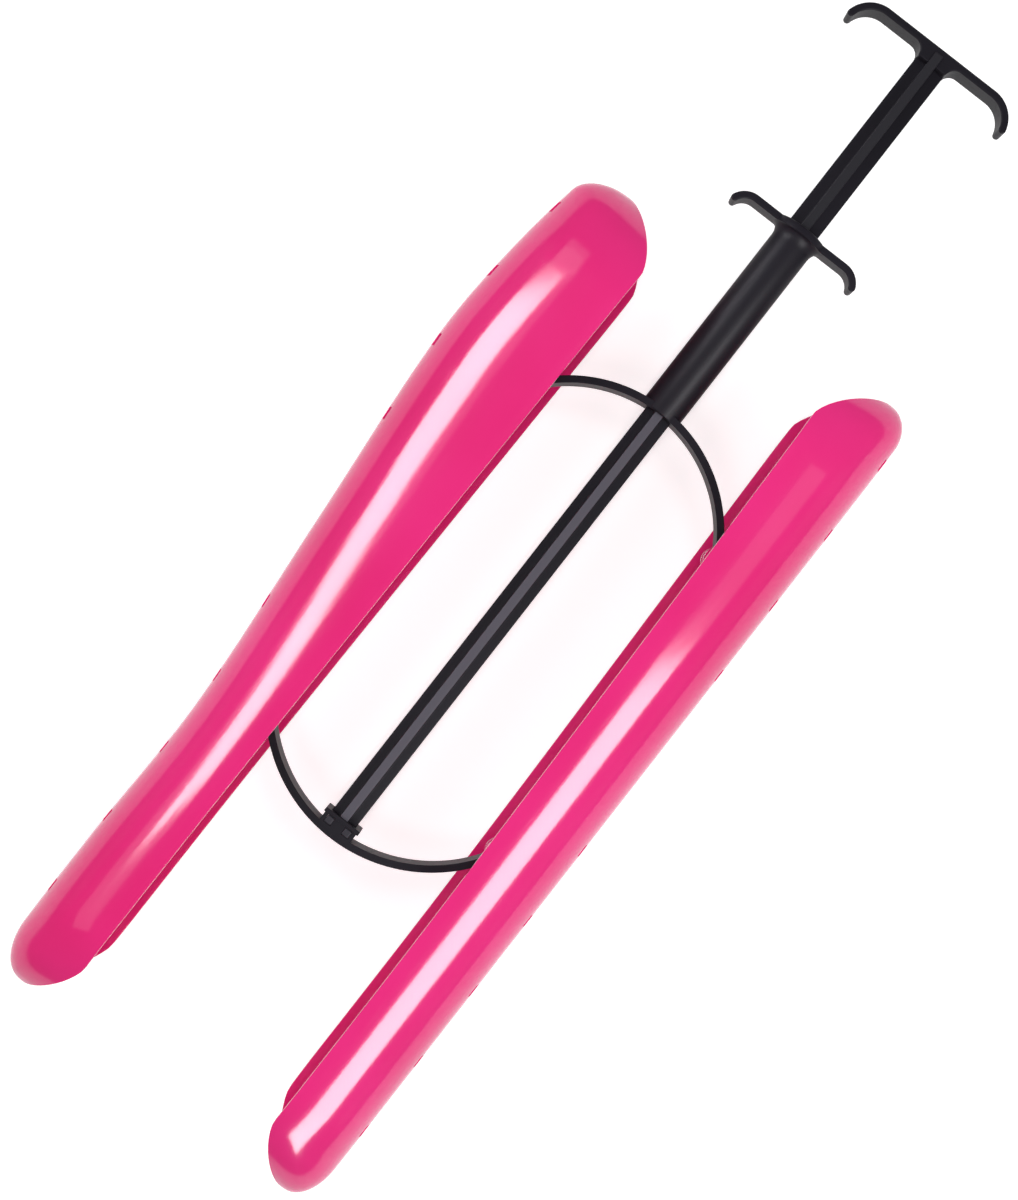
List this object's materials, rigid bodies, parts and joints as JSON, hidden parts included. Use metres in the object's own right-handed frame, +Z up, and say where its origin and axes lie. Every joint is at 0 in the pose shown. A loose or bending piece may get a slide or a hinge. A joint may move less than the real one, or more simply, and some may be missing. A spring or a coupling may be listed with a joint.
{
  "type": "boot shaper",
  "caption": "Boot shaper: slim half shells with vent slots on sprung bows, closed by squeezing the palm bar of a sliding rod towards the finger bar of its tube.",
  "frame": {"origin": "centre of the bounding box in plan, on the surface that the shells lie on", "axes": "+Y along the rod towards the palm bar, +X towards the front (shin) shell, +Z up, out of the plane in which the bows flex"},
  "size_m": [0.1721, 0.5192, 0.072],
  "materials": {
    "shell_plastic": "glossy pink moulded plastic",
    "handle_plastic": "satin black moulded plastic"
  },
  "bodies": {
    "tube": {"outer_tube": "handle_plastic"},
    "upper_rear_arm": {"upper_rear_arm": "handle_plastic"},
    "rear_shell": {"rear_shell": "shell_plastic"},
    "lower_rear_arm": {"lower_rear_arm": "handle_plastic"},
    "rod": {"pull_rod": "handle_plastic", "lower_bow_hub": "handle_plastic"},
    "lower_front_arm": {"lower_front_arm": "handle_plastic"},
    "upper_front_arm": {"upper_front_arm": "handle_plastic"},
    "front_shell": {"front_shell": "shell_plastic"}
  },
  "joints": [
    {"name": "squeeze", "type": "hinge", "parent": "tube", "child": "upper_rear_arm", "pos_m": [-0.01419, 0.07504, 0.036], "axis": [0, 0, 1], "range_deg": [-5, 30], "stiffness_Nm_per_rad": 0.5},
    {"name": "rear_shell_top_bead", "type": "hinge", "parent": "upper_rear_arm", "child": "rear_shell", "pos_m": [-0.05096, 0.04418, 0.036], "axis": [0, 0, -1], "range_deg": [-5, 30]},
    {"name": "rear_shell_low_bead", "type": "hinge", "parent": "rear_shell", "child": "lower_rear_arm", "pos_m": [-0.05396, -0.10135, 0.036], "axis": [0, 0, -1], "range_deg": [-5, 30]},
    {"name": "lower_rear_flex", "type": "hinge", "parent": "lower_rear_arm", "child": "rod", "pos_m": [-0.01719, -0.1322, 0.036], "axis": [0, 0, 1], "range_deg": [-5, 30], "stiffness_Nm_per_rad": 0.5},
    {"name": "lower_front_flex", "type": "hinge", "parent": "rod", "child": "lower_front_arm", "pos_m": [0.02329, -0.1322, 0.036], "axis": [0, 0, 1], "range_deg": [-5, 30], "stiffness_Nm_per_rad": 0.5},
    {"name": "upper_front_flex", "type": "hinge", "parent": "tube", "child": "upper_front_arm", "pos_m": [0.02029, 0.07504, 0.036], "axis": [0, 0, -1], "range_deg": [-5, 30], "stiffness_Nm_per_rad": 0.5},
    {"name": "front_shell_top_bead", "type": "hinge", "parent": "upper_front_arm", "child": "front_shell", "pos_m": [0.05706, 0.04418, 0.036], "axis": [0, 0, 1], "range_deg": [-5, 30]}
  ],
  "couplings": [
    {"joint": "rear_shell_top_bead", "follows": "squeeze", "ratio": 1},
    {"joint": "rear_shell_low_bead", "follows": "squeeze", "ratio": 1},
    {"joint": "lower_rear_flex", "follows": "squeeze", "ratio": 1},
    {"joint": "lower_front_flex", "follows": "squeeze", "ratio": 1},
    {"joint": "upper_front_flex", "follows": "squeeze", "ratio": 1},
    {"joint": "front_shell_top_bead", "follows": "squeeze", "ratio": 1}
  ]
}
